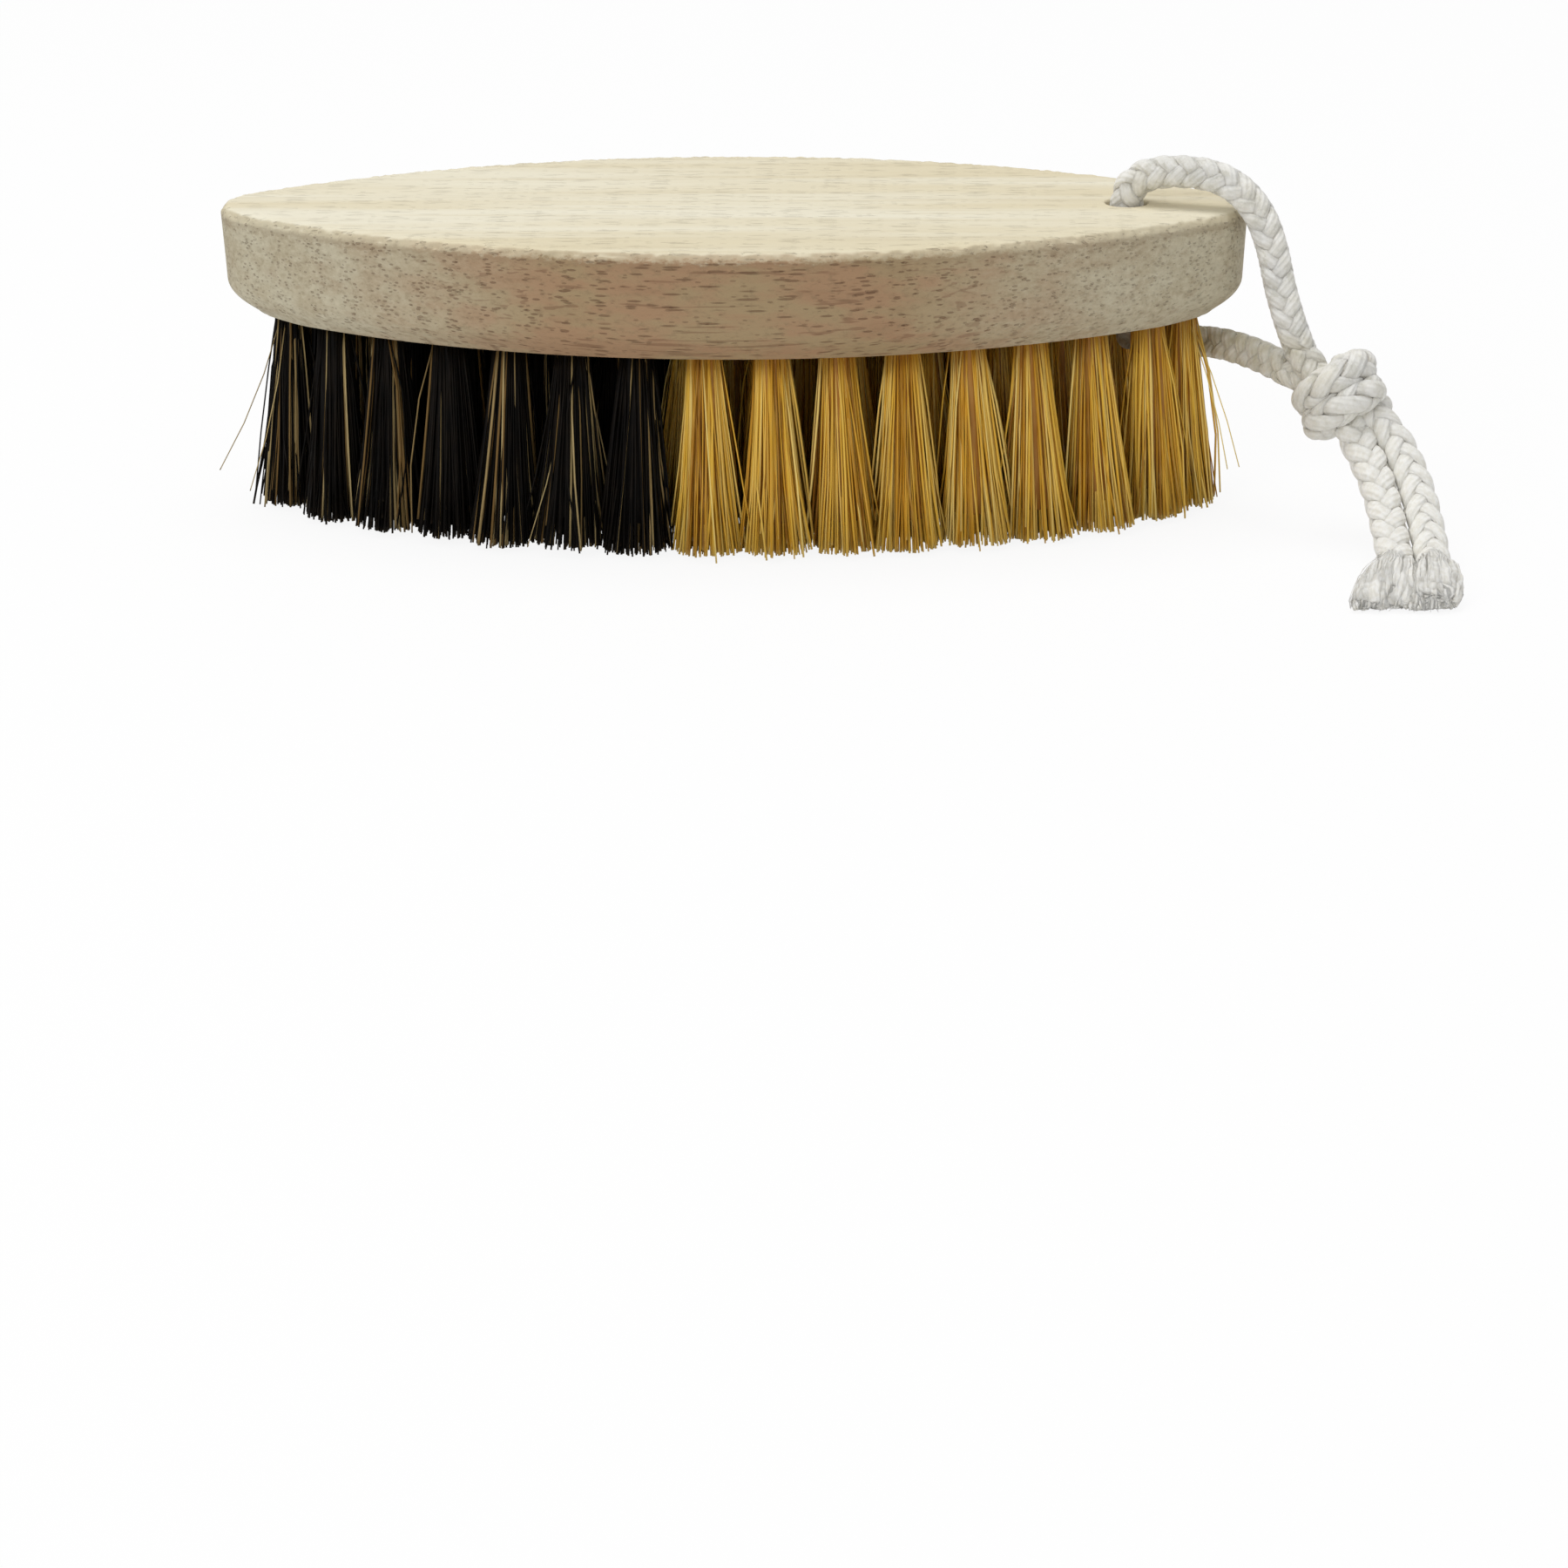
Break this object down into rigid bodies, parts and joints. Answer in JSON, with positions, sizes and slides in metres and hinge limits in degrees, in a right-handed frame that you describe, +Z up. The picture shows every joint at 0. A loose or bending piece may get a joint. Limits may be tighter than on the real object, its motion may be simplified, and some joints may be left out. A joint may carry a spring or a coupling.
{
  "type": "vegetable brush",
  "caption": "Oval wooden scrubbing brush for vegetables, with pale and dark plant-fibre tufts and a knotted cotton cord to hang it by.",
  "frame": {"origin": "on the surface that the brush stands on, under the middle of the block, level with the bristles' tips", "axes": "+X along the block towards the cord and the pale bristles, +Y across the block towards the edge row with fewer tufts, +Z up from the bristles' tips to the block"},
  "size_m": [0.1594, 0.0684, 0.0478],
  "materials": {
    "pale_wood": "matte",
    "golden_fibre": "satin",
    "dark_fibre": "satin",
    "steel_wire": "satin",
    "white_cotton": "matte"
  },
  "bodies": {
    "root": {"wood_block": "pale_wood", "anchor_staples": "steel_wire", "cord_loop": "white_cotton", "cord_knot": "white_cotton", "cord_tail_left": "white_cotton", "cord_tail_right": "white_cotton", "tuft_light_01": "golden_fibre", "tuft_light_02": "golden_fibre", "tuft_light_03": "golden_fibre", "tuft_light_04": "golden_fibre", "tuft_light_05": "golden_fibre", "tuft_light_06": "golden_fibre", "tuft_light_07": "golden_fibre", "tuft_light_08": "golden_fibre", "tuft_light_09": "golden_fibre", "tuft_light_10": "golden_fibre", "tuft_light_11": "golden_fibre", "tuft_light_12": "golden_fibre", "tuft_light_13": "golden_fibre", "tuft_light_14": "golden_fibre", "tuft_light_15": "golden_fibre", "tuft_light_16": "golden_fibre", "tuft_light_17": "golden_fibre", "tuft_light_18": "golden_fibre", "tuft_light_19": "golden_fibre", "tuft_light_20": "golden_fibre", "tuft_light_21": "golden_fibre", "tuft_light_22": "golden_fibre", "tuft_light_23": "golden_fibre", "tuft_light_24": "golden_fibre", "tuft_light_25": "golden_fibre", "tuft_light_26": "golden_fibre", "tuft_light_27": "golden_fibre", "tuft_light_28": "golden_fibre", "tuft_light_29": "golden_fibre", "tuft_light_30": "golden_fibre", "tuft_dark_01": "dark_fibre", "tuft_dark_02": "dark_fibre", "tuft_dark_03": "dark_fibre", "tuft_dark_04": "dark_fibre", "tuft_dark_05": "dark_fibre", "tuft_dark_06": "dark_fibre", "tuft_dark_07": "dark_fibre", "tuft_dark_08": "dark_fibre", "tuft_dark_09": "dark_fibre", "tuft_dark_10": "dark_fibre", "tuft_dark_11": "dark_fibre", "tuft_dark_12": "dark_fibre", "tuft_dark_13": "dark_fibre", "tuft_dark_14": "dark_fibre", "tuft_dark_15": "dark_fibre", "tuft_dark_16": "dark_fibre", "tuft_dark_17": "dark_fibre", "tuft_dark_18": "dark_fibre", "tuft_dark_19": "dark_fibre", "tuft_dark_20": "dark_fibre", "tuft_dark_21": "dark_fibre", "tuft_dark_22": "dark_fibre", "tuft_dark_23": "dark_fibre", "tuft_dark_24": "dark_fibre"}
  },
  "joints": []
}
